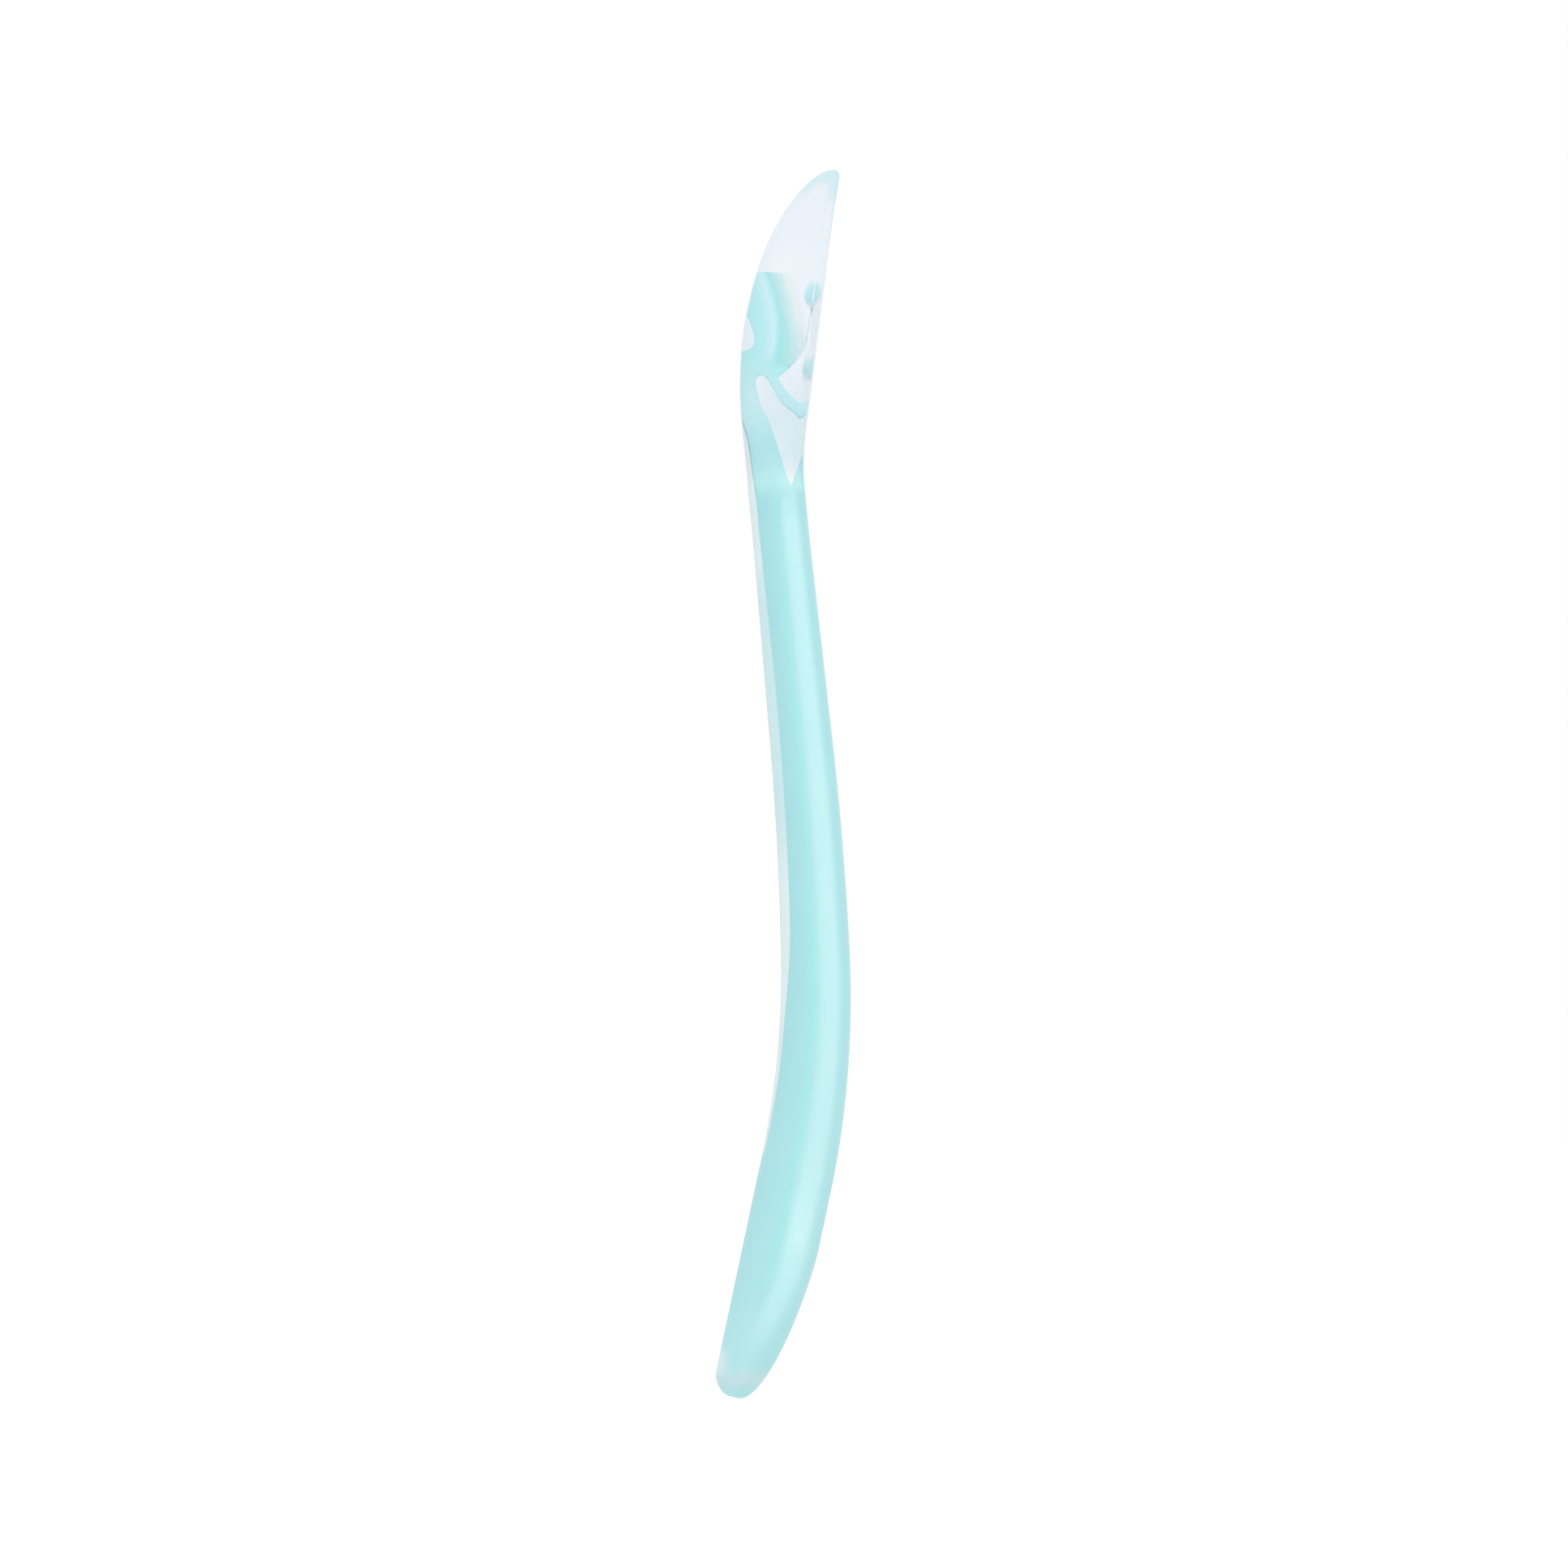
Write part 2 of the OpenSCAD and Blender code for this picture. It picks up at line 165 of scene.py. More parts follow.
def solid(name, points, faces, sharp=40, across=None):
    """A closed piece from points and faces: doubles merged, faces outwards, edges sharp above an angle.
    across is a number for each point, which its finish can read at the faces' corners."""
    mesh = bpy.data.meshes.new(name)
    mesh.from_pydata(points.reshape(-1, 3).tolist(), [], faces.tolist())
    if across is not None:
        corners = across.ravel()[faces.ravel()]
        mesh.attributes.new("across", "FLOAT", "CORNER").data.foreach_set("value", corners)
    work = bmesh.new()
    work.from_mesh(mesh)
    bmesh.ops.remove_doubles(work, verts=work.verts, dist=merge_dist)
    bmesh.ops.dissolve_degenerate(work, edges=work.edges, dist=sliver_dist)
    bmesh.ops.recalc_face_normals(work, faces=work.faces)
    work.to_mesh(mesh)
    work.free()
    mesh.polygons.foreach_set("use_smooth", np.ones(len(mesh.polygons), dtype=bool))
    mesh.set_sharp_from_angle(angle=math.radians(sharp))
    piece = bpy.data.objects.new(name, mesh)
    bpy.context.scene.collection.objects.link(piece)
    return piece


class Signal:
    """A socket in a material: sums and products with numbers or other sockets add Math nodes."""

    def __init__(self, tree, socket=None):
        self.tree = tree
        self.socket = socket

    def add(self, kind, settings=None, inputs=None, out=0):
        """A node of any kind, its settings first, then the values or links of its sockets."""
        node = self.tree.nodes.new(kind)
        for key, value in (settings or {}).items():
            setattr(node, key, value)
        for key, value in (inputs or {}).items():
            if isinstance(value, Signal):
                self.tree.links.new(value.socket, node.inputs[key])
            else:
                node.inputs[key].default_value = value
        return Signal(self.tree, node.outputs[out])

    def math(self, operation, a, b):
        """A Math node on two values, for the operations that have no operator."""
        return self.add("ShaderNodeMath", {"operation": operation}, {0: a, 1: b})

    def __add__(self, other):
        return self.math("ADD", self, other)

    def __radd__(self, other):
        return self.math("ADD", other, self)

    def __sub__(self, other):
        return self.math("SUBTRACT", self, other)

    def __rsub__(self, other):
        return self.math("SUBTRACT", other, self)

    def __mul__(self, other):
        return self.math("MULTIPLY", self, other)

    def __rmul__(self, other):
        return self.math("MULTIPLY", other, self)

    def __truediv__(self, other):
        return self.math("DIVIDE", self, other)

    def ramp(self, low, high):
        """0 below low and 1 above high, eased between them."""
        settings = {"interpolation_type": "SMOOTHSTEP"}
        return self.add("ShaderNodeMapRange", settings, {"Value": self, "From Min": low, "From Max": high})

    def blend(self, a, b):
        """Colour a where this is 0 and colour b where it is 1."""
        return self.add("ShaderNodeMix", {"data_type": "RGBA"}, {0: self, 6: a, 7: b}, out=2)


def colour(red, green, blue):
    """A colour as it shows on screen, 0 to 255, in the light units that shaders use."""
    shown = np.array([red, green, blue]) / 255
    light = np.where(shown <= 0.04045, shown / 12.92, ((shown + 0.055) / 1.055) ** 2.4)
    return (*light.tolist(), 1.0)


def finish(name, constants, varying=None):
    """A plastic or metal finish: constants go straight on the shader, and varying(signal) gives links."""
    material = bpy.data.materials.new(name)
    material.use_nodes = True
    shader = material.node_tree.nodes["Principled BSDF"]
    for key, value in constants.items():
        shader.inputs[key].default_value = value
    start = Signal(material.node_tree)
    for key, value in (varying(start) if varying else {}).items():
        material.node_tree.links.new(value.socket, shader.inputs[key])
    return material


aqua = colour(169, 226, 230)
pale_aqua = colour(184, 235, 238)
turquoise_sheen = colour(167, 234, 233)
highlight_streak_aqua = colour(198, 244, 247)
nose_light_aqua = colour(188, 233, 237)
patch_white = colour(228, 241, 248)
end_grey = colour(204, 226, 233)
end_lean = math.tan(math.radians(12))


def oval_reach(a, b):
    """How far a spot lies from an oval's middle: the sum of two squares, 1 on the oval."""
    return a * a + b * b


def tube_looks(start):
    """Cloudy aqua with faint lines along the tube, and a painted turquoise sheen of light scattered in the
    wall down the middle of each side. It is paler towards the tail, with a painted highlight streak along the
    tail's side that ends on the nose, and painted light paling the lower nose away from its front. The nose
    has a whiter oval patch at its back and a greyer band near its end, and the skin is satin."""
    spot = start.add("ShaderNodeTexCoord", out=3)
    along = start.add("ShaderNodeMapping", None, {"Vector": spot, "Scale": (900.0, 900.0, 30.0)})
    lines = start.add("ShaderNodeTexNoise", None, {"Vector": along, "Scale": 1.0, "Detail": 2.0})
    across = start.add("ShaderNodeAttribute", {"attribute_name": "across"}, out=2)
    cloud = start.add("ShaderNodeTexNoise", None, {"Vector": spot, "Scale": 160.0, "Detail": 3.0})
    grain = start.add("ShaderNodeTexNoise", None, {"Vector": spot, "Scale": 2600.0, "Detail": 2.0})
    x = start.add("ShaderNodeSeparateXYZ", None, {0: spot}, out=0) / MM
    y = start.add("ShaderNodeSeparateXYZ", None, {0: spot}, out=1) / MM
    z = start.add("ShaderNodeSeparateXYZ", None, {0: spot}, out=2) / MM
    # Paler towards the tail, and a painted turquoise sheen down the middle, less so above the shaft
    low = 1 - z.ramp(-4, 40)
    body = (low * 0.3 + cloud.ramp(0.35, 0.7) * 0.1 + lines.ramp(0.3, 0.7) * 0.1).blend(aqua, pale_aqua)
    middle = across.ramp(-0.4, -0.05) * (1 - across.ramp(-0.05, 0.12)) * z.ramp(-6, 4)
    middle = middle * (1 - z.ramp(62.0, 72.0) * 0.6)
    body = (middle * 0.7).blend(body, turquoise_sheen)
    # The painted highlight streak leans to the back round the nose
    lane = across + (1 - z.ramp(-7.0, 0.0)) * 0.25
    streak = lane.ramp(-0.05, 0.25) * (1 - lane.ramp(0.55, 0.85))
    streak = streak * z.ramp(-9.5, -4.5) * (1 - z.ramp(4.0, 15.0))
    body = (streak * 0.55).blend(body, highlight_streak_aqua)
    # Painted light pales the lower nose away from its front
    nose_painted_light = (1 - z.ramp(-7.0, -2.0)) * (1 - across.ramp(0.0, 0.5))
    body = (nose_painted_light * 0.5).blend(body, nose_light_aqua)
    # The whiter patch is an oval, and the band lies level when the tip stands as photographed
    patch_reach = oval_reach(y / 3.0, (z + 10.4) / 2.4)
    whiter_patch = (1 - patch_reach.ramp(0.1, 1.0)) * (1 - across.ramp(-0.9, -0.3))
    body = (whiter_patch * 0.7).blend(body, patch_white)
    end = z - x * end_lean + cloud * 1.6
    band = end.ramp(-11.8, -10.4) * (1 - end.ramp(-10.4, -8.8))
    skin = start.add("ShaderNodeBump", None, {"Strength": 0.05, "Distance": 0.0001, "Height": grain})
    return {
        "Base Color": (band * 0.7).blend(body, end_grey),
        "Roughness": 0.3 + cloud * 0.06,
        "Normal": skin,
    }


tube_finish = finish("aqua_vinyl", {"IOR": 1.45, "Specular IOR Level": 0.35}, tube_looks)

arc_points = 97
flat_points = 11
flat_share = np.linspace(0, 1, flat_points + 2)[1:-1]
row_gap = 0.35


def flat_back(r, corner, depth):
    """Front and side of the points along the flat, from one of its corners to the other."""
    side = -r * np.sin(corner) * (1 - 2 * flat_share)
    return np.broadcast_to(depth - r, side.shape), side


def tube_rings(s):
    """Outside rings, a round with a flat on its back, and bore rings with as many points."""
    middle, r = (value[:, None] for value in tube_section(s))
    depth = spine_depth(s)[:, None]
    corner = np.arccos(depth / r - 1)
    turn = corner * np.linspace(1, -1, arc_points)
    flat_front, flat_side = flat_back(r, corner, depth)
    front = np.concatenate([r * np.cos(turn), flat_front], axis=1)
    side = np.concatenate([r * np.sin(turn), flat_side], axis=1)
    bore_turn = np.concatenate([turn, -corner - (2 * np.pi - 2 * corner) * flat_share], axis=1)
    bore = np.where(s[:, None] < 0, np.maximum(outlet_r, r - tube_wall), r - tube_wall)
    outside = place(s[:, None], middle + front, side)
    inside = place(s[:, None], middle + bore * np.cos(bore_turn), bore * np.sin(bore_turn))
    return outside, inside, front / r


def tube_piece(name, s):
    """The wall between the outside rings and the bore rings, closed at both ends."""
    outside, inside, across = tube_rings(s)
    rings = np.concatenate([outside, inside[::-1], outside[:1]])
    across = np.concatenate([across, across[::-1], across[:1]])
    return solid(name, rings, grid_faces(len(rings), rings.shape[1]), across=across)


# Each piece runs from the middle of one length to the middle of the next
head_join = 2.5
lip_wall = 0.05
nose_tries = 4000
nose_depths = np.linspace(0, nose_len, nose_tries)
nose_end = nose_depths[tube_section(-nose_depths)[1] > outlet_r + lip_wall][-1]
middles = (hinge_s[:-1] + hinge_s[1:]) / 2
cuts = np.concatenate([[-nose_end], middles, [head_s + head_join]])
nose_rows = 40
longest_reach = 6.0
reach_share = 0.95
reaches = reach_share * np.minimum(hinge_s - np.maximum(cuts[:-1], 0), cuts[1:] - hinge_s)
reaches = np.minimum(longest_reach, reaches)


def stations(low, high):
    """Even places along the tube, closer together round the nose's end."""
    straight = np.linspace(max(low, 0), high, int((high - max(low, 0)) / row_gap) + 2)
    nose = -nose_end * np.cos(np.linspace(0, np.pi / 2, nose_rows))
    return straight if low >= 0 else np.concatenate([nose[:-1], straight])


def turn_about(piece, k):
    """Works out where a turn about hinge k would start and end, and bakes the piece's transform; it doesn't
    turn the piece.
    """
    start = place(hinge_s[k] - reaches[k], 0, 0)
    end = place(hinge_s[k] + reaches[k], 0, 0)
    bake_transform(piece)


tube_names = ["tube_tail", "tube_bend_1", "tube_bend_2", "tube_bend_3", "tube_shaft", "tube_neck"]
for k, name in enumerate(tube_names):
    piece = tube_piece(name, stations(cuts[k], cuts[k + 1]))
    piece.data.materials.append(tube_finish)
    turn_about(piece, k)
    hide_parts(joined[k][0] + "_tube")

# Spine
# A clear strip, moulded into the flat on the tube's back, that runs out at the tail and in the head.
# It carries the wire, which gives it a grey cast.

spine_gap = 0.003
spine_points = 25
spine_start = spigot_len + 0.6
strip_grey = colour(227, 247, 250)
strip_pale = colour(235, 250, 252)
strip_aqua = colour(212, 243, 247)
strip_white = colour(252, 255, 255)


def spine_rings(s):
    """The slice of the tube's round between the flat on its back and the outside."""
    r = tube_section(s)[1][:, None]
    depth = spine_depth(s)[:, None] - spine_gap
    corner = np.arccos(depth / r - 1)
    turn = corner + (2 * np.pi - 2 * corner) * np.linspace(0, 1, spine_points)
    flat_front, flat_side = flat_back(r, corner, depth)
    front = np.concatenate([r * np.cos(turn), flat_front], axis=1)
    side = np.concatenate([r * np.sin(turn), flat_side], axis=1)
    return place(s[:, None], front, side)


def rod(name, rings):
    """A solid through a row of rings, with a flat end of its own at each end."""
    rows, columns = rings.shape[:2]
    ends = np.stack([rings[0].mean(axis=0), rings[-1].mean(axis=0)])[:, None, :].repeat(columns, axis=1)
    stacked = np.concatenate([ends[:1], rings, ends[1:]])
    return solid(name, stacked, grid_faces(rows + 2, columns))


def spine_looks(start):
    """Clear and slightly grey, a little cloudier in places, greener half way up, and whiter in the head."""
    spot = start.add("ShaderNodeTexCoord", out=3)
    cloud = start.add("ShaderNodeTexNoise", None, {"Vector": spot, "Scale": 120.0, "Detail": 2.0})
    z = start.add("ShaderNodeSeparateXYZ", None, {0: spot}, out=2) / MM
    above = z - float(hinges[-1, 2])
    strip = cloud.ramp(0.3, 0.7).blend(strip_grey, strip_pale)
    strip = (z.ramp(36.0, 46.0) * (1 - z.ramp(63.0, 70.0))).blend(strip, strip_aqua)
    return {
        "Base Color": above.ramp(4.0, 9.0).blend(strip, strip_white),
        "Alpha": 0.93 + cloud * 0.06,
    }


spine_shine = {"Roughness": 0.16, "IOR": 1.45, "Specular IOR Level": 0.4}
spine_finish = finish("clear_spine", spine_shine, spine_looks)

for k, name in enumerate(tube_names):
    s = stations(max(cuts[k], spine_start), cuts[k + 1])
    piece = rod(name.replace("tube", "spine"), spine_rings(s))
    piece.data.materials.append(spine_finish)
    turn_about(piece, k)
    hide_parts(joined[k][0] + "_spine")

# Wire
# A soft tinned wire along the middle of the spine, moulded in.
# It keeps the bend that a hand gives the tube.

wire_r = 0.3
wire_cover = 0.26
wire_anchor = 3.25
wire_points = 16
tin_dark = colour(214, 220, 224)
tin_pale = colour(236, 240, 242)


def wire_rings(s):
    """Small rounds under the spine's outside, at a steady depth."""
    turn = np.linspace(0, 2 * np.pi, wire_points, endpoint=False)
    depth = wire_cover + wire_r - tube_section(s)[1][:, None]
    return place(s[:, None], depth + wire_r * np.cos(turn), wire_r * np.sin(turn))


def wire_looks(start):
    """Drawn tin, with fine lines along the wire."""
    spot = start.add("ShaderNodeTexCoord", out=3)
    drawn = start.add("ShaderNodeMapping", None, {"Vector": spot, "Scale": (9000.0, 9000.0, 120.0)})
    lines = start.add("ShaderNodeTexNoise", None, {"Vector": drawn, "Scale": 1.0, "Detail": 2.0})
    return {
        "Base Color": lines.blend(tin_dark, tin_pale),
        "Roughness": 0.3 + lines * 0.15,
    }


wire_finish = finish("tinned_wire", {"Metallic": 1.0}, wire_looks)

for k, name in enumerate(tube_names):
    low = max(cuts[k], hinge_s[0] - wire_anchor)
    high = min(cuts[k + 1], head_s + wire_anchor)
    piece = rod(name.replace("tube", "wire"), wire_rings(stations(low, high)))
    piece.data.materials.append(wire_finish)
    turn_about(piece, k)
    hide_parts(joined[k][0] + "_wire")
    if k == len(tube_names) - 1:
        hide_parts("head_wire")

# Strainer
# The aqua sleeve that the hood is pushed over, moulded in one with the tube's upper end.
# Its sides have a V-shaped window, a slanting bar, a paddle with a pressed fold, a notch at the
# back, and a slim prong with a thick tip along the mouth.

hood_top = 36.2
tip_len = 1.0
tip_corner = 0.75
sleeve_z = 5.0
hood_w = 7.8
mouth_slope = math.tan(math.radians(13.15))
mouth_heel = 15.6
mouth_top = 34.6
mouth_half_w = 2.6
flare_z = 4.5
flare_len = 6.9
shoulder_z = 12.0
arch_power = 0.65
flat_z = 6.5
flat_len = 6.0
widest_z = 17.0
swell_z = 4.0
front_round = 0.3
round_share = 0.4
least_front = 0.15
least_side = 0.05
thin_cover = 0.1
thin_cover_len = 2.5
front_cover = 0.05
front_cover_z = 8
front_cover_len = 4
side_cover = 0.4
side_cover_len = 6
strainer_wall = 0.55


def eased(t):
    """0 to 1 with a soft start and a soft end."""
    u = np.clip(t, 0, 1)
    return u * u * (3 - 2 * u)


def front_x(z):
    """The head's front: along the tube, then a parabola, then straight along the mouth's plane, and a
    small quarter circle at the tip."""
    flare = np.clip(z - flare_z, 0, flare_len)
    above = np.maximum(0, z - flare_z - flare_len)
    plane = neck_r + mouth_slope * (flare**2 / (2 * flare_len) + above)
    corner = np.clip((z - hood_top) / tip_corner + 1, 0, 1)
    return plane - tip_corner * (1 - np.sqrt(1 - corner**2))


def back_x(z, top):
    """The head's back: along the tube, then arching over to the tip like a squeezed circle."""
    tip = neck_r + mouth_slope * (top - flare_z - flare_len / 2) - tip_len
    climb = np.clip((z - shoulder_z) / (top - shoulder_z), 0, 1)
    return tip - (tip + neck_r) * (1 - climb**2) ** arch_power


def half_width(z, top):
    """Half the head's width: the tube's, swelling to the hood's, then closing as an ellipse."""
    swell = neck_r + (hood_w / 2 - neck_r) * eased((z - swell_z) / (widest_z - swell_z))
    close = np.clip((z - widest_z) / (top - widest_z), 0, 1)
    return np.where(z < widest_z, swell, hood_w / 2 * np.sqrt(1 - close**2))


def cover(z):
    """Thickness of the clear plastic over the strainer at the front, the back and the sides. It starts from
    nothing at the sleeve's edge, stays thin along the back, and is full at the sides."""
    back = thin_cover * eased((z - sleeve_z) / thin_cover_len)
    front = back + front_cover * eased((z - front_cover_z) / front_cover_len)
    side = back + side_cover * eased((z - sleeve_z) / side_cover_len)
    return front, back, side


def head_section(z, turn, inset=(0, 0, 0), top=hood_top):
    """Front and side of a section's points: half an ellipse at the front and half at the back.
    The front half is round at the neck and nearly flat along the mouth."""
    front_inset, back_inset, side_inset = inset
    flatness = eased((z - flat_z) / flat_len)
    depth = front_x(z) - back_x(z, top)
    rounding = np.minimum(neck_r + (front_round - neck_r) * flatness, round_share * depth)
    front_reach = np.maximum(least_front, rounding - front_inset)
    middle = front_x(z) - front_inset - front_reach
    back_reach = middle - back_x(z, top) - back_inset
    reach = np.where(np.cos(turn) > 0, front_reach, back_reach)
    side_reach = np.maximum(half_width(z, top) - side_inset, least_side)
    return middle + reach * np.cos(turn), side_reach * np.sin(turn)


def deeper(insets, more):
    """The same three insets, all deeper by so much."""
    return tuple(value + more for value in insets)


def in_head(x, y, z):
    """Points in metres from the head's own measures: z along the tube from the upper hinge."""
    return place(head_s + z, x, y)


def through(points, fine=8):
    """A smooth line through points: each stretch is a cubic whose ends follow the neighbours."""
    p = np.array(points, dtype=float)
    p = np.concatenate([2 * p[:1] - p[1:2], p, 2 * p[-1:] - p[-2:-1]])
    t = np.linspace(0, 1, fine, endpoint=False)[None, :, None]
    a, b, c, d = (p[i : len(p) - 3 + i, None, :] for i in range(4))
    curve = b + 0.5 * t * (c - a + t * (2 * a - 5 * b + 4 * c - d + t * (3 * (b - c) + d - a)))
    return np.concatenate([curve.reshape(-1, 2), p[-2:-1]])


def behind_front(gap, z):
    """A point of a side view, this far behind the head's front."""
    return [float(front_x(z)) - gap, z]


def between(low, high):
    """A cutter between two rings of as many points, with a flat end at each."""
    n = len(low)
    j = np.arange(n)
    sides = np.stack([j, (j + 1) % n, (j + 1) % n + n, j + n], axis=-1).tolist()
    return np.concatenate([low, high]), sides + [j[::-1].tolist(), (j + n).tolist()]


def prism(outline, half=9.0):
    """A cutter: a side view carried through from one side to the other."""
    return between(*(in_head(outline[:, 0], side, outline[:, 1]) for side in (-half, half)))


def cut(piece, cutters, sharp=35):
    """Takes cutters out of a piece, each given as points and faces."""
    made = []
    for points, faces in cutters:
        mesh = bpy.data.meshes.new("cutter")
        mesh.from_pydata(points.tolist(), [], faces)
        work = bmesh.new()
        work.from_mesh(mesh)
        bmesh.ops.recalc_face_normals(work, faces=work.faces)
        work.to_mesh(mesh)
        work.free()
        cutter = bpy.data.objects.new("cutter", mesh)
        bpy.context.scene.collection.objects.link(cutter)
        modifier = piece.modifiers.new("cut", "BOOLEAN")
        modifier.operation = "DIFFERENCE"
        modifier.solver = "EXACT"
        modifier.object = cutter
        made.append(cutter)
    graph = bpy.context.evaluated_depsgraph_get()
    mesh = bpy.data.meshes.new_from_object(piece.evaluated_get(graph))
    piece.modifiers.clear()
    piece.data = mesh
    for cutter in made:
        bpy.data.objects.remove(cutter)
    mesh.polygons.foreach_set("use_smooth", np.ones(len(mesh.polygons), dtype=bool))
    mesh.set_sharp_from_angle(angle=math.radians(sharp))


# Side views of what is open: the window, the space beside the paddle and over it, and the notch
far_back = -9
far_front = 12
far_top = 45
window_line = through([
    [0.3, 16.25], [-0.28, 16.8], [-0.95, 16.3], [-0.72, 13.9], [0.12, 11.4], [0.98, 7.4], [1.5, 5.5],
]).tolist()
window = np.array(
    window_line
    + through([[1.5, 5.5], [2.0, 6.6], [2.5, 7.7], [2.95, 8.5], [3.5, 9.3]]).tolist()[1:]
    + [[8, 9.3], [8, 13.9], [3.9, 12.9]]
    + through([
        [3.55, 12.45], [3.1, 12.2], [2.8, 12.4], [2.5, 12.75], [1.48, 13.76], [1.08, 14.45], [0.74, 15.2],
        [0.3, 16.25],
    ]).tolist()[:-1]
)
prong_line = through([
    [3.4, 13.45], behind_front(0.72, 14.2), behind_front(0.8, 15.4), behind_front(1.2, 17.0),
    behind_front(1.0, 18.2), behind_front(0.8, 19.4), behind_front(1.05, 22.4),
    behind_front(1.5, 23.1), behind_front(1.95, 24.0), behind_front(1.85, 24.9), behind_front(1.3, 25.5),
    behind_front(0.7, 25.3), behind_front(0.3, 24.9),
]).tolist()
paddle_line = through([
    [3.5, 26.5], [3.85, 25.9], [4.1, 24.6], [4.3, 23.2], [4.45, 21.6], [4.5, 20.2], [4.3, 19.0],
    [3.75, 18.35], [3.05, 17.75], [1.95, 16.9], [1.25, 16.4], [1.36, 15.9], [1.75, 15.1],
    [2.35, 14.25], [2.9, 13.65], [3.4, 13.45],
]).tolist()
over_paddle = [[far_front, 24.9], [far_front, far_top], [far_back, far_top], [far_back, 27.0], [0.2, 26.85]]
open_front = np.array(prong_line + over_paddle + paddle_line[:-1])
notch_line = through([
    [-2.6, 23.2], [-1.3, 22.75], [-0.8, 21.4], [-0.7, 20.4], [-0.9, 19.6], [-1.5, 19.25], [-2.6, 19.2],
]).tolist()
notch = np.array([[far_back, 22.9]] + notch_line + [[far_back, 19.2]])

# The seat that the spine's upper end lies in, which runs out to the back
spine_top_z = 12.7
spine_run_out = 2.5
spine_low_depth = float(spine_depth(head_s))
spine_high_depth = 0.48
spine_seat_z = 5.05
spine_seat = np.array([
    [spine_low_depth - neck_r, 0], [spine_low_depth - neck_r, spine_seat_z],
    [spine_high_depth - neck_r, spine_top_z - spine_run_out], [thin_cover - neck_r, spine_top_z],
    [far_back, spine_top_z], [far_back, 0],
])

# The mouth's oval, carried square to its plane
mouth_lean = math.atan(mouth_slope)
mouth_middle = (mouth_heel + mouth_top) / 2
mouth_half = (mouth_top - mouth_heel) / 2 / math.cos(mouth_lean)
oval_points = 96
mouth_cut_in = 1.25
mouth_cut_out = 2.0
oval_turn = np.linspace(0, 2 * np.pi, oval_points, endpoint=False)
oval_climb = mouth_half * np.cos(oval_turn)
oval_side = mouth_half_w * np.sin(oval_turn)


def mouth_ring(out):
    """The oval, this far out from the mouth's plane."""
    x = front_x(mouth_middle) + oval_climb * math.sin(mouth_lean) + out * math.cos(mouth_lean)
    z = mouth_middle + oval_climb * math.cos(mouth_lean) - out * math.sin(mouth_lean)
    return in_head(x, oval_side, z)


mouth_cutter = between(mouth_ring(-mouth_cut_in), mouth_ring(mouth_cut_out))

# The fold pressed into each side, in front of which the wall is thinner
fold_x = 1.52
fold_z = 21.6
fold_bow = 0.0445
fold_skew = 0.003
fold_step = 0.14
fold_foot_z = 16.6
fold_foot_len = 0.8
thinning = 0.42
thinning_lead = 0.8
thinning_len = 0.9


def fold_line(z):
    """How far forward the fold's edge lies: an upright bow, slightly lopsided, for arrays and sockets."""
    climb = z - fold_z
    return fold_x - climb * climb * (fold_bow - climb * fold_skew)


strainer_points = 128
strainer_turn = np.linspace(0, 2 * np.pi, strainer_points, endpoint=False)[None, :]
strainer_top = 28.0
outer_row = 0.16
inner_row = 0.4


def strainer_rings():
    """The sleeve's outside from the tube's end up, with the fold pressed in, then its inside down again,
    which comes near the outside in front of the fold. Also 1 for each outside point and 0 for the rest."""
    tube_z = np.array([head_join, 3.4, 4.2])[:, None]
    up = np.arange(sleeve_z, strainer_top, outer_row)[:, None]
    x, y = head_section(up, strainer_turn, cover(up))
    pressed = eased((x - fold_line(up)) / fold_step) * eased((up - fold_foot_z) / fold_foot_len)
    y = y * (1 - fold_step * pressed / half_width(up, hood_top))
    down = np.arange(strainer_top - outer_row, sleeve_z + strainer_wall, -inner_row)[:, None]
    inner_x, inner_y = head_section(down, strainer_turn, deeper(cover(down), strainer_wall))
    thinned = eased((inner_x - fold_line(down) + thinning_lead) / thinning_len)
    thinned = thinned * eased((down - fold_foot_z) / fold_foot_len)
    inner_y = inner_y * (1 + thinning * thinned / half_width(down, hood_top))
    bore_r = neck_r - tube_wall
    bore_z = np.array([sleeve_z + strainer_wall, 4.0, head_join])[:, None]
    rings = [
        in_head(neck_r * np.cos(strainer_turn), neck_r * np.sin(strainer_turn), tube_z),
        in_head(x, y, up),
        in_head(inner_x, inner_y, down),
        in_head(bore_r * np.cos(strainer_turn), bore_r * np.sin(strainer_turn), bore_z),
    ]
    outer = [np.full(ring.shape[:2], shown) for ring, shown in zip(rings, (1.0, 1.0, 0.0, 0.0))]
    return np.concatenate(rings + [rings[0][:1]]), np.concatenate(outer + [outer[0][:1]])


def head_coordinates(start):
    """Millimetres in front of the tube's middle line and up from the upper hinge."""
    spot = start.add("ShaderNodeTexCoord", out=3)
    x = start.add("ShaderNodeSeparateXYZ", None, {0: spot}, out=0)
    z = start.add("ShaderNodeSeparateXYZ", None, {0: spot}, out=2)
    across_x = x / MM - float(hinges[-1, 0])
    across_z = z / MM - float(hinges[-1, 2])
    lean = float(leans[-1])
    return (
        across_x * math.cos(lean) + across_z * math.sin(lean),
        across_z * math.cos(lean) - across_x * math.sin(lean),
        spot,
    )


def behind_mouth(x, z):
    """Millimetres behind the head's front: the sum that front_x makes, in nodes."""
    flare = z.math("MINIMUM", z.math("MAXIMUM", z - flare_z, 0.0), flare_len)
    above = z.math("MAXIMUM", z - (flare_z + flare_len), 0.0)
    return (flare * flare / (2 * flare_len) + above) * mouth_slope + neck_r - x


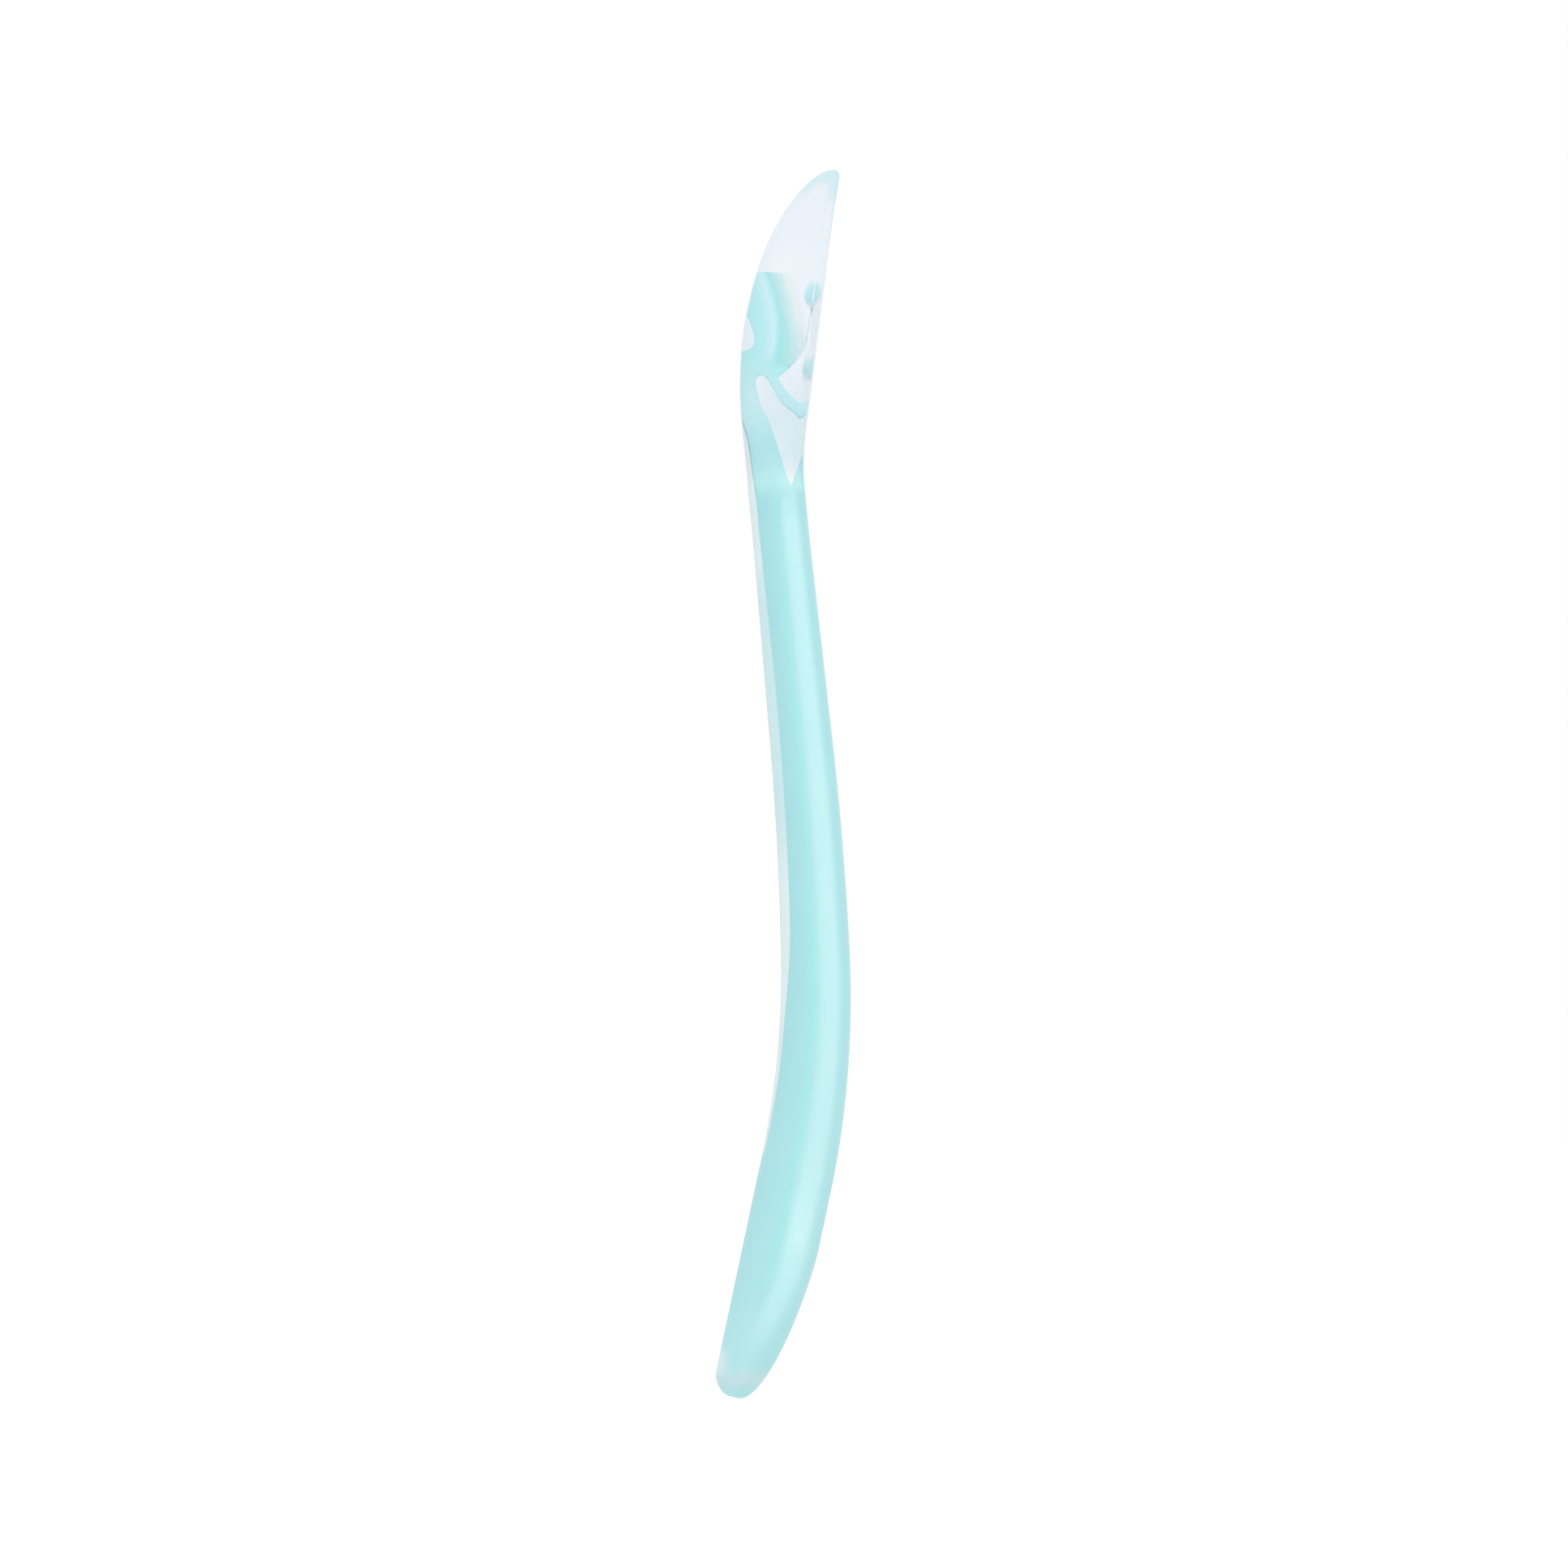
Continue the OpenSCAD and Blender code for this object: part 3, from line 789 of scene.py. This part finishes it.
deep_aqua = colour(199, 250, 247)
cloudy_aqua = colour(207, 251, 250)
fold_shade_aqua = colour(186, 249, 246)
flank_pale = colour(220, 251, 251)
foot_aqua = colour(192, 241, 240)
thin_aqua = colour(182, 253, 255)
prong_pale = colour(208, 255, 255)
heel_aqua = colour(188, 251, 253)
fold_pale = colour(226, 253, 254)
window_back_z = 13.9
window_slant = 0.26


def from_window(x, z):
    """Millimetres in front of a slanting line down the window's back edge."""
    return x + (z - window_back_z) * window_slant


def strainer_looks(start):
    """Deep aqua, with a painted highlight up to the fold's edge and painted shade just in front of its lower
    part. The plastic thins out to clear in front of the fold and along the prong, but for its heel and its
    tip. A line of sight crosses two outer skins, so each lets a square root through, and where the plastic is
    thin its inner skins don't show."""
    x, z, spot = head_coordinates(start)
    outer = start.add("ShaderNodeAttribute", {"attribute_name": "across"}, out=2)
    cloud = start.add("ShaderNodeTexNoise", None, {"Vector": spot, "Scale": 260.0, "Detail": 3.0})
    to_fold = x - fold_line(z)
    gap = behind_mouth(x, z)
    # What is clear: the edge past the fold, and the prong, whose heel and tip are thick ovals
    thin_edge = to_fold.ramp(0.3, 4.5 - z.ramp(17.0, 23.0) * 1.6) * z.ramp(17.0, 18.6)
    reach = 1.0 + z.ramp(14.6, 15.4) * (1 - z.ramp(17.6, 18.6)) * 0.5 + z.ramp(22.2, 23.2) * 1.1
    on_prong = (1 - gap.ramp(reach, reach + 0.08)) * z.ramp(13.5, 13.8)
    heel = (1 - oval_reach(gap / 1.5, (z - 17.0) / 1.5).ramp(0.0, 1.1)) * 0.8
    tip = (1 - oval_reach((gap - 1.15) / 0.85, (z - 24.2) / 1.2).ramp(0.1, 1.35)) * 0.85
    thick = start.math("MAXIMUM", start.math("MAXIMUM", heel, tip), z.ramp(15.4, 16.2) * 0.12)
    clear = on_prong * (1 - thick) + (1 - on_prong) * thin_edge
    skin = 1 - start.math("POWER", clear, 0.5)
    lining = 1 - clear.ramp(0.0, 0.1)
    # Colours from the fold down to the foot, then of what is thin
    deep = (cloud.ramp(0.3, 0.7) * 0.25).blend(deep_aqua, cloudy_aqua)
    # Painted shade just in front of the fold's lower part
    fold_shade = to_fold.ramp(-0.2, 0.2) * z.ramp(15.8, 16.8) * (1 - z.ramp(19.0, 25.0))
    deep = fold_shade.blend(deep, fold_shade_aqua)
    lower = (1 - z.ramp(15.0, 19.0)) * (0.25 + z.ramp(10.0, 14.0) * 0.35)
    deep = lower.blend(deep, flank_pale)
    deep = (1 - z.ramp(9.0, 12.5)).blend(deep, foot_aqua)
    deep = clear.ramp(0.0, 0.4).blend(deep, thin_aqua)
    deep = (on_prong * (1 - z.ramp(19.0, 20.0))).blend(deep, prong_pale)
    deep = (on_prong * heel).blend(deep, heel_aqua)
    # The tube's own colours below the sleeve's edge, with its painted turquoise sheen, and the painted
    # highlight behind the fold above it, with a paler patch behind the window
    middle = (x / neck_r).ramp(-0.4, -0.05) * (1 - (x / neck_r).ramp(-0.05, 0.12))
    low = (middle * 0.3).blend(aqua, turquoise_sheen)
    deep = (middle * 0.3 * (1 - z.ramp(5.0, 8.0))).blend(deep, turquoise_sheen)
    # Painted highlight along the back of the fold
    beside = to_fold.ramp(-1.4, -0.1) * (1 - to_fold.ramp(-0.05, 0.1))
    flank = from_window(x, z).ramp(-2.3, -0.9) * z.ramp(12.0, 13.5) * (1 - z.ramp(14.5, 15.8))
    high = (beside * z.ramp(17.4, 19.2) * 0.8 + flank * 0.4).blend(deep, fold_pale)
    return {
        "Base Color": z.ramp(sleeve_z - 0.8, sleeve_z + 1.5).blend(low, high),
        "Roughness": 0.3 + cloud * 0.08 + z.ramp(4.0, 5.5) * (1 - z.ramp(9.0, 12.0)) * 0.3,
        "Alpha": lining + outer * (skin - lining),
    }


strainer_finish = finish("aqua_strainer", {"IOR": 1.45, "Specular IOR Level": 0.3}, strainer_looks)

rings, outer = strainer_rings()
strainer = solid("strainer_sleeve", rings, grid_faces(len(rings), rings.shape[1]), across=outer)
cut(strainer, [prism(window), prism(open_front), prism(notch), prism(spine_seat), mouth_cutter])
strainer.data.materials.append(strainer_finish)
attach(strainer, "head")
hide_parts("strainer")

# The spine's upper end lies in the strainer's back, under the hood, and runs out there
spine_end_rows = 40
spine_end_gap = 0.1
least_depth = 0.004
end_z = np.linspace(head_join, spine_top_z - spine_end_gap, spine_end_rows)
end_r = (neck_r - np.where(end_z > sleeve_z, cover(end_z)[1], 0))[:, None]
end_places = [head_join, spine_seat_z, spine_top_z - spine_run_out, spine_top_z]
end_flat = np.interp(end_z, end_places, [spine_low_depth, spine_low_depth, spine_high_depth, thin_cover])
end_depth = end_flat[:, None] - neck_r + end_r - spine_gap
end_corner = np.arccos(np.maximum(end_depth, least_depth) / end_r - 1)
end_turn = end_corner + (2 * np.pi - 2 * end_corner) * np.linspace(0, 1, spine_points)
spine_end = rod("spine_head", in_head(end_r * np.cos(end_turn), end_r * np.sin(end_turn), end_z[:, None]))
spine_end.data.materials.append(spine_finish)
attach(spine_end, "head")
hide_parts("head_spine")

# Hood
# A clear, hard cap, moulded in one piece and pushed over the strainer, where it is welded.
# Its sides meet a flat front with an oval mouth, and its tip is solid.

bead_depth = 1.0
bead_rise = 0.05
bead_edge = 0.16
bead_start_z = 12
bead_start_len = 4
lip_limit = 0.96
hood_points = 241
feather_len = 0.5
sleeve_count = 30
sleeve_rows = np.linspace(sleeve_z + feather_len, mouth_heel, sleeve_count)
mouth_count = 70
mouth_rows = mouth_middle - (mouth_top - mouth_heel) / 2 * np.cos(np.linspace(0, np.pi, mouth_count))
tip_flat = 0.04
tip_count = 16
tip_share = np.sin(np.linspace(0, np.pi / 2, tip_count)[1:])
tip_rows = mouth_top + (hood_top - tip_flat - mouth_top) * tip_share
cavity_top = 35.45
roof_rows = cavity_top - np.array([0.6, 0.4, 0.25, 0.15])
shared_z = np.concatenate([sleeve_rows[:-1], mouth_rows])


def lip_turn(z, side_inset, top):
    """Where the mouth's lip cuts a section: at its front middle, and further round within the mouth."""
    climb = np.clip((z - mouth_middle) / ((mouth_top - mouth_heel) / 2), -1, 1)
    side = mouth_half_w * np.sqrt(np.maximum(0, 1 - climb**2))
    return np.arcsin(np.clip(side / np.maximum(half_width(z, top) - side_inset, least_side), 0, lip_limit))


def hood_rings(z, inset, top, rise):
    """Sections from lip to lip round the back, with a bead of this rise along the front edge."""
    lip = lip_turn(z, inset[2], top)[:, None]
    turn = lip + (2 * np.pi - 2 * lip) * np.linspace(0, 1, hood_points)
    rows = z[:, None]
    x, y = head_section(rows, turn, [np.reshape(value, (-1, 1)) for value in inset], top)
    near = 1 - eased((front_x(rows) - x - bead_depth + bead_edge / 2) / bead_edge)
    near = near * eased((rows - bead_start_z) / bead_start_len)
    y = y * (1 + rise * near / np.maximum(half_width(rows, top), 1))
    return in_head(x, y, rows)


def hood_solid():
    """Outside and inside sheets that share their rows up to the mouth's top, joined at the lip and the
    lower edge. The outside goes on to the tip, and the inside closes under it. Also 1 for each outside
    point and 0 for the rest."""
    inner_z = np.concatenate([shared_z, roof_rows])
    outside = hood_rings(np.concatenate([shared_z, tip_rows]), (0, 0, 0), hood_top, bead_rise)
    inside = hood_rings(inner_z, tuple(value / 2 for value in cover(inner_z)), cavity_top, 0)
    tip = outside[-1:].mean(axis=1, keepdims=True).repeat(hood_points, axis=1)
    roof = inside[-1:].mean(axis=1, keepdims=True).repeat(hood_points, axis=1)
    sheets = [np.concatenate([outside, tip]), np.concatenate([inside, roof])]
    first = sheets[0].shape[0] * hood_points
    lip_rows = np.arange(len(sleeve_rows) - 1, len(shared_z) - 1)
    low = lip_rows * hood_points
    high = low + hood_points
    lips = [
        np.stack([low + j, high + j, first + high + j, first + low + j], axis=-1)
        for j in (0, hood_points - 1)
    ]
    j = np.arange(hood_points - 1)
    edge = np.stack([j, j + 1, first + j + 1, first + j], axis=-1)
    faces = [
        grid_faces(sheets[0].shape[0], hood_points, 0, wrap=False),
        grid_faces(sheets[1].shape[0], hood_points, first, wrap=False),
        *lips,
        edge,
    ]
    outer = np.repeat([1.0, 0.0], [first, sheets[1].shape[0] * hood_points])
    return np.concatenate([sheet.reshape(-1, 3) for sheet in sheets]), np.concatenate(faces), outer


arch_tip_x = float(back_x(hood_top, hood_top))
hood_tint = colour(188, 236, 241)
highlight_white = colour(250, 253, 255)
line_grey = colour(150, 195, 203)
cold_cast = (0.922, 0.944, 0.976, 1.0)
hood_finish = finish("clear_hood", {"Roughness": 0.22, "IOR": 1.45, "Specular IOR Level": 0.4})


def hood_looks(tree):
    """Clear with a cold cast that fades in above the sleeve's edge, and is weaker in front of the fold. It is
    hazy beside the window and thick in the solid tip and along the arch, a painted highlight line and a fine
    dark line mark the front rim's bead, the highlight strongest across the prong's tip, and a thin gloss lies
    over all."""
    start = Signal(tree)
    x, z, spot = head_coordinates(start)
    outer = start.add("ShaderNodeAttribute", {"attribute_name": "across"}, out=2)
    streak = start.add("ShaderNodeTexNoise", None, {"Vector": spot, "Scale": 420.0, "Detail": 2.0})
    edge_on = start.add("ShaderNodeLayerWeight", None, {"Blend": 0.5}, out=1)
    gap = behind_mouth(x, z)
    climb = (z - shoulder_z) / (hood_top - shoulder_z)
    sweep = start.math("POWER", start.math("MAXIMUM", 1 - climb * climb, 0.0), arch_power)
    from_arch = x - (arch_tip_x - sweep * (arch_tip_x + neck_r))
    arch = (1 - from_arch.ramp(0.6, 1.6)) * z.ramp(33.0, 35.6) * 0.8
    front = (1 - gap.ramp(0.5, 1.2)) * z.ramp(32.5, 34.3)
    thick = start.math("MAXIMUM", start.math("MAXIMUM", arch, front), z.ramp(34.7, 35.4))
    rim = (1 - gap.ramp(0.1, 0.5)) * (0.05 + z.ramp(28.0, 33.0) * 0.08 + (1 - z.ramp(11.0, 14.0)) * 0.08)
    # A painted highlight line along the bead, strongest across the prong's tip, and a fine dark line just
    # behind it
    past_bead = gap - bead_depth
    line = past_bead.ramp(-0.1, -0.03) * (1 - past_bead.ramp(0.03, 0.1))
    at_tip = z.ramp(22.3, 23.0) * (1 - z.ramp(25.0, 25.8))
    bead_highlight = line * (1 - z.ramp(33.8, 34.3)) * (0.1 + at_tip * 0.6)
    dark = past_bead.ramp(0.06, 0.1) * (1 - past_bead.ramp(0.14, 0.18)) * streak.ramp(0.4, 0.55)
    dark = dark * z.ramp(17.0, 19.0) * (1 - z.ramp(23.0, 24.0) * 0.8) * 0.35
    beside = from_window(x, z).ramp(-1.3, -0.5)
    notched = (1 - x.ramp(-1.2, -0.4)) * z.ramp(18.6, 19.4) * (1 - z.ramp(22.4, 23.6))
    haze = beside * ((1 - z.ramp(12.0, 18.0)) * 0.15 + 0.02) * z.ramp(5.0, 8.0) + notched * 0.07
    # The painted highlight line whitens the plastic along the bead
    body = (bead_highlight * 2.0).blend(hood_tint, highlight_white)
    body = (dark * 3.0).blend(body, line_grey)
    shader = tree.nodes["Principled BSDF"]
    tree.links.new(body.socket, shader.inputs["Base Color"])
    plastic = Signal(tree, shader.outputs[0])
    clear = start.add("ShaderNodeBsdfTransparent", None, {"Color": (1.0, 1.0, 1.0, 1.0)})
    cast = start.add("ShaderNodeBsdfTransparent", None, {"Color": cold_cast})
    to_fold = x - fold_line(z)
    thin = to_fold.ramp(0.3, 1.2) * (1 - to_fold.ramp(1.8, 3.0))
    thin = thin * z.ramp(16.8, 18.2) * (1 - z.ramp(26.0, 27.0))
    coldness = outer * z.ramp(5.0, 9.0) * (1 - thin * 0.65)
    tinted = start.add("ShaderNodeMixShader", None, {0: coldness, 1: clear, 2: cast})
    opacity = outer * (0.015 + haze + thick * 0.26 + rim + bead_highlight + dark)
    mixed = start.add("ShaderNodeMixShader", None, {0: opacity, 1: tinted, 2: plastic})
    shine = start.add("ShaderNodeBsdfGlossy", None, {"Roughness": 0.24})
    glint = outer * (edge_on * edge_on * edge_on * 0.06 + 0.012) * z.ramp(5.0, 10.0)
    shown = start.add("ShaderNodeMixShader", None, {0: glint, 1: mixed, 2: shine})
    tree.links.new(shown.socket, tree.nodes["Material Output"].inputs["Surface"])


hood_looks(hood_finish.node_tree)

hood_spots, hood_faces, hood_outer = hood_solid()
hood = solid("hood_shell", hood_spots, hood_faces, sharp=50, across=hood_outer)
hood.data.materials.append(hood_finish)
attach(hood, "head")
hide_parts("hood")

# Studio
# A white room with an even light all round, a pale floor below, and a tall soft panel for the gloss.

photo_width = 154.56 * MM
photo_middle = Vector((-9.17, 0, 46.86)) * MM
photo_roll = math.radians(12)
right = Vector((math.cos(photo_roll), 0, math.sin(photo_roll)))
up = Vector((-math.sin(photo_roll), 0, math.cos(photo_roll)))
towards = Vector((0, -1, 0))


def facing(location, toward_viewer, upright):
    """A matrix at a location whose back points to the viewer's side and whose top is upright."""
    back = toward_viewer.normalized()
    side = upright.cross(back).normalized()
    turned = Matrix((side, back.cross(side), back)).transposed().to_4x4()
    return Matrix.Translation(location) @ turned


camera_distance = 0.9
lens = bpy.data.cameras.new("camera")
lens.sensor_width = 36
lens.lens = lens.sensor_width * camera_distance / photo_width
lens.clip_start = 0.01
camera = bpy.data.objects.new("camera", lens)
camera.matrix_world = facing(photo_middle + towards * camera_distance, towards, up)
bpy.context.scene.collection.objects.link(camera)
bpy.context.scene.camera = camera


def panel(name, bearing, climb, distance, size, power):
    """A soft lamp that faces the object, at a bearing to the camera's right and a height angle."""
    away = towards * math.cos(bearing) + right * math.sin(bearing)
    away = away * math.cos(climb) + up * math.sin(climb)
    lamp = bpy.data.lights.new(name, "AREA")
    lamp.shape = "RECTANGLE"
    lamp.size, lamp.size_y = size
    lamp.energy = power
    panel_object = bpy.data.objects.new(name, lamp)
    panel_object.matrix_world = facing(photo_middle + away * distance, away, up)
    panel_object.visible_camera = False
    bpy.context.scene.collection.objects.link(panel_object)
    return panel_object


gloss = panel("gloss_panel", math.radians(47), climb=0.0, distance=0.6, size=(0.88, 1.6), power=22)
gloss.data.color = (1.0, 0.66, 0.58)
gloss.visible_diffuse = False
gloss.visible_transmission = False
fill = panel("top_panel", math.radians(20), climb=math.radians(60), distance=0.8, size=(0.8, 0.8), power=2.0)
fill.visible_glossy = False

room_light = 0.86
world = bpy.data.worlds.new("white_room")
bpy.context.scene.world = world
world.use_nodes = True
background = world.node_tree.nodes["Background"]
background.inputs["Color"].default_value = (1, 1, 1, 1)
room = Signal(world.node_tree)
camera_ray, glossy_ray, through_ray = (room.add("ShaderNodeLightPath", out=ray) for ray in (0, 3, 6))
white = room.math("MINIMUM", camera_ray + glossy_ray + through_ray, 1.0)
world.node_tree.links.new((room_light + white * (1 - room_light)).socket, background.inputs["Strength"])

floor_drop = 22 * MM
floor_half = 3.0
floor_glow = 0.3
floor_signs = [(-1, -1), (1, -1), (1, 1), (-1, 1)]
floor_z = cad_box[0].z - floor_drop
floor_corners = [(x * floor_half, y * floor_half, floor_z) for x, y in floor_signs]
floor_mesh = bpy.data.meshes.new("floor")
floor_mesh.from_pydata(floor_corners, [], [(0, 1, 2, 3)])
floor = bpy.data.objects.new("floor", floor_mesh)
bpy.context.scene.collection.objects.link(floor)
floor_paint = {"Base Color": (0.86, 0.87, 0.87, 1), "Roughness": 0.9, "Emission Color": (1, 1, 1, 1)}
floor_finish = finish("white_floor", floor_paint)
floor_tree = floor_finish.node_tree
floor_seen = Signal(floor_tree).add("ShaderNodeLightPath")
floor_shader = floor_tree.nodes["Principled BSDF"]
floor_tree.links.new((floor_seen * floor_glow).socket, floor_shader.inputs["Emission Strength"])
floor_mesh.materials.append(floor_finish)

bpy.context.scene.view_settings.view_transform = "Standard"
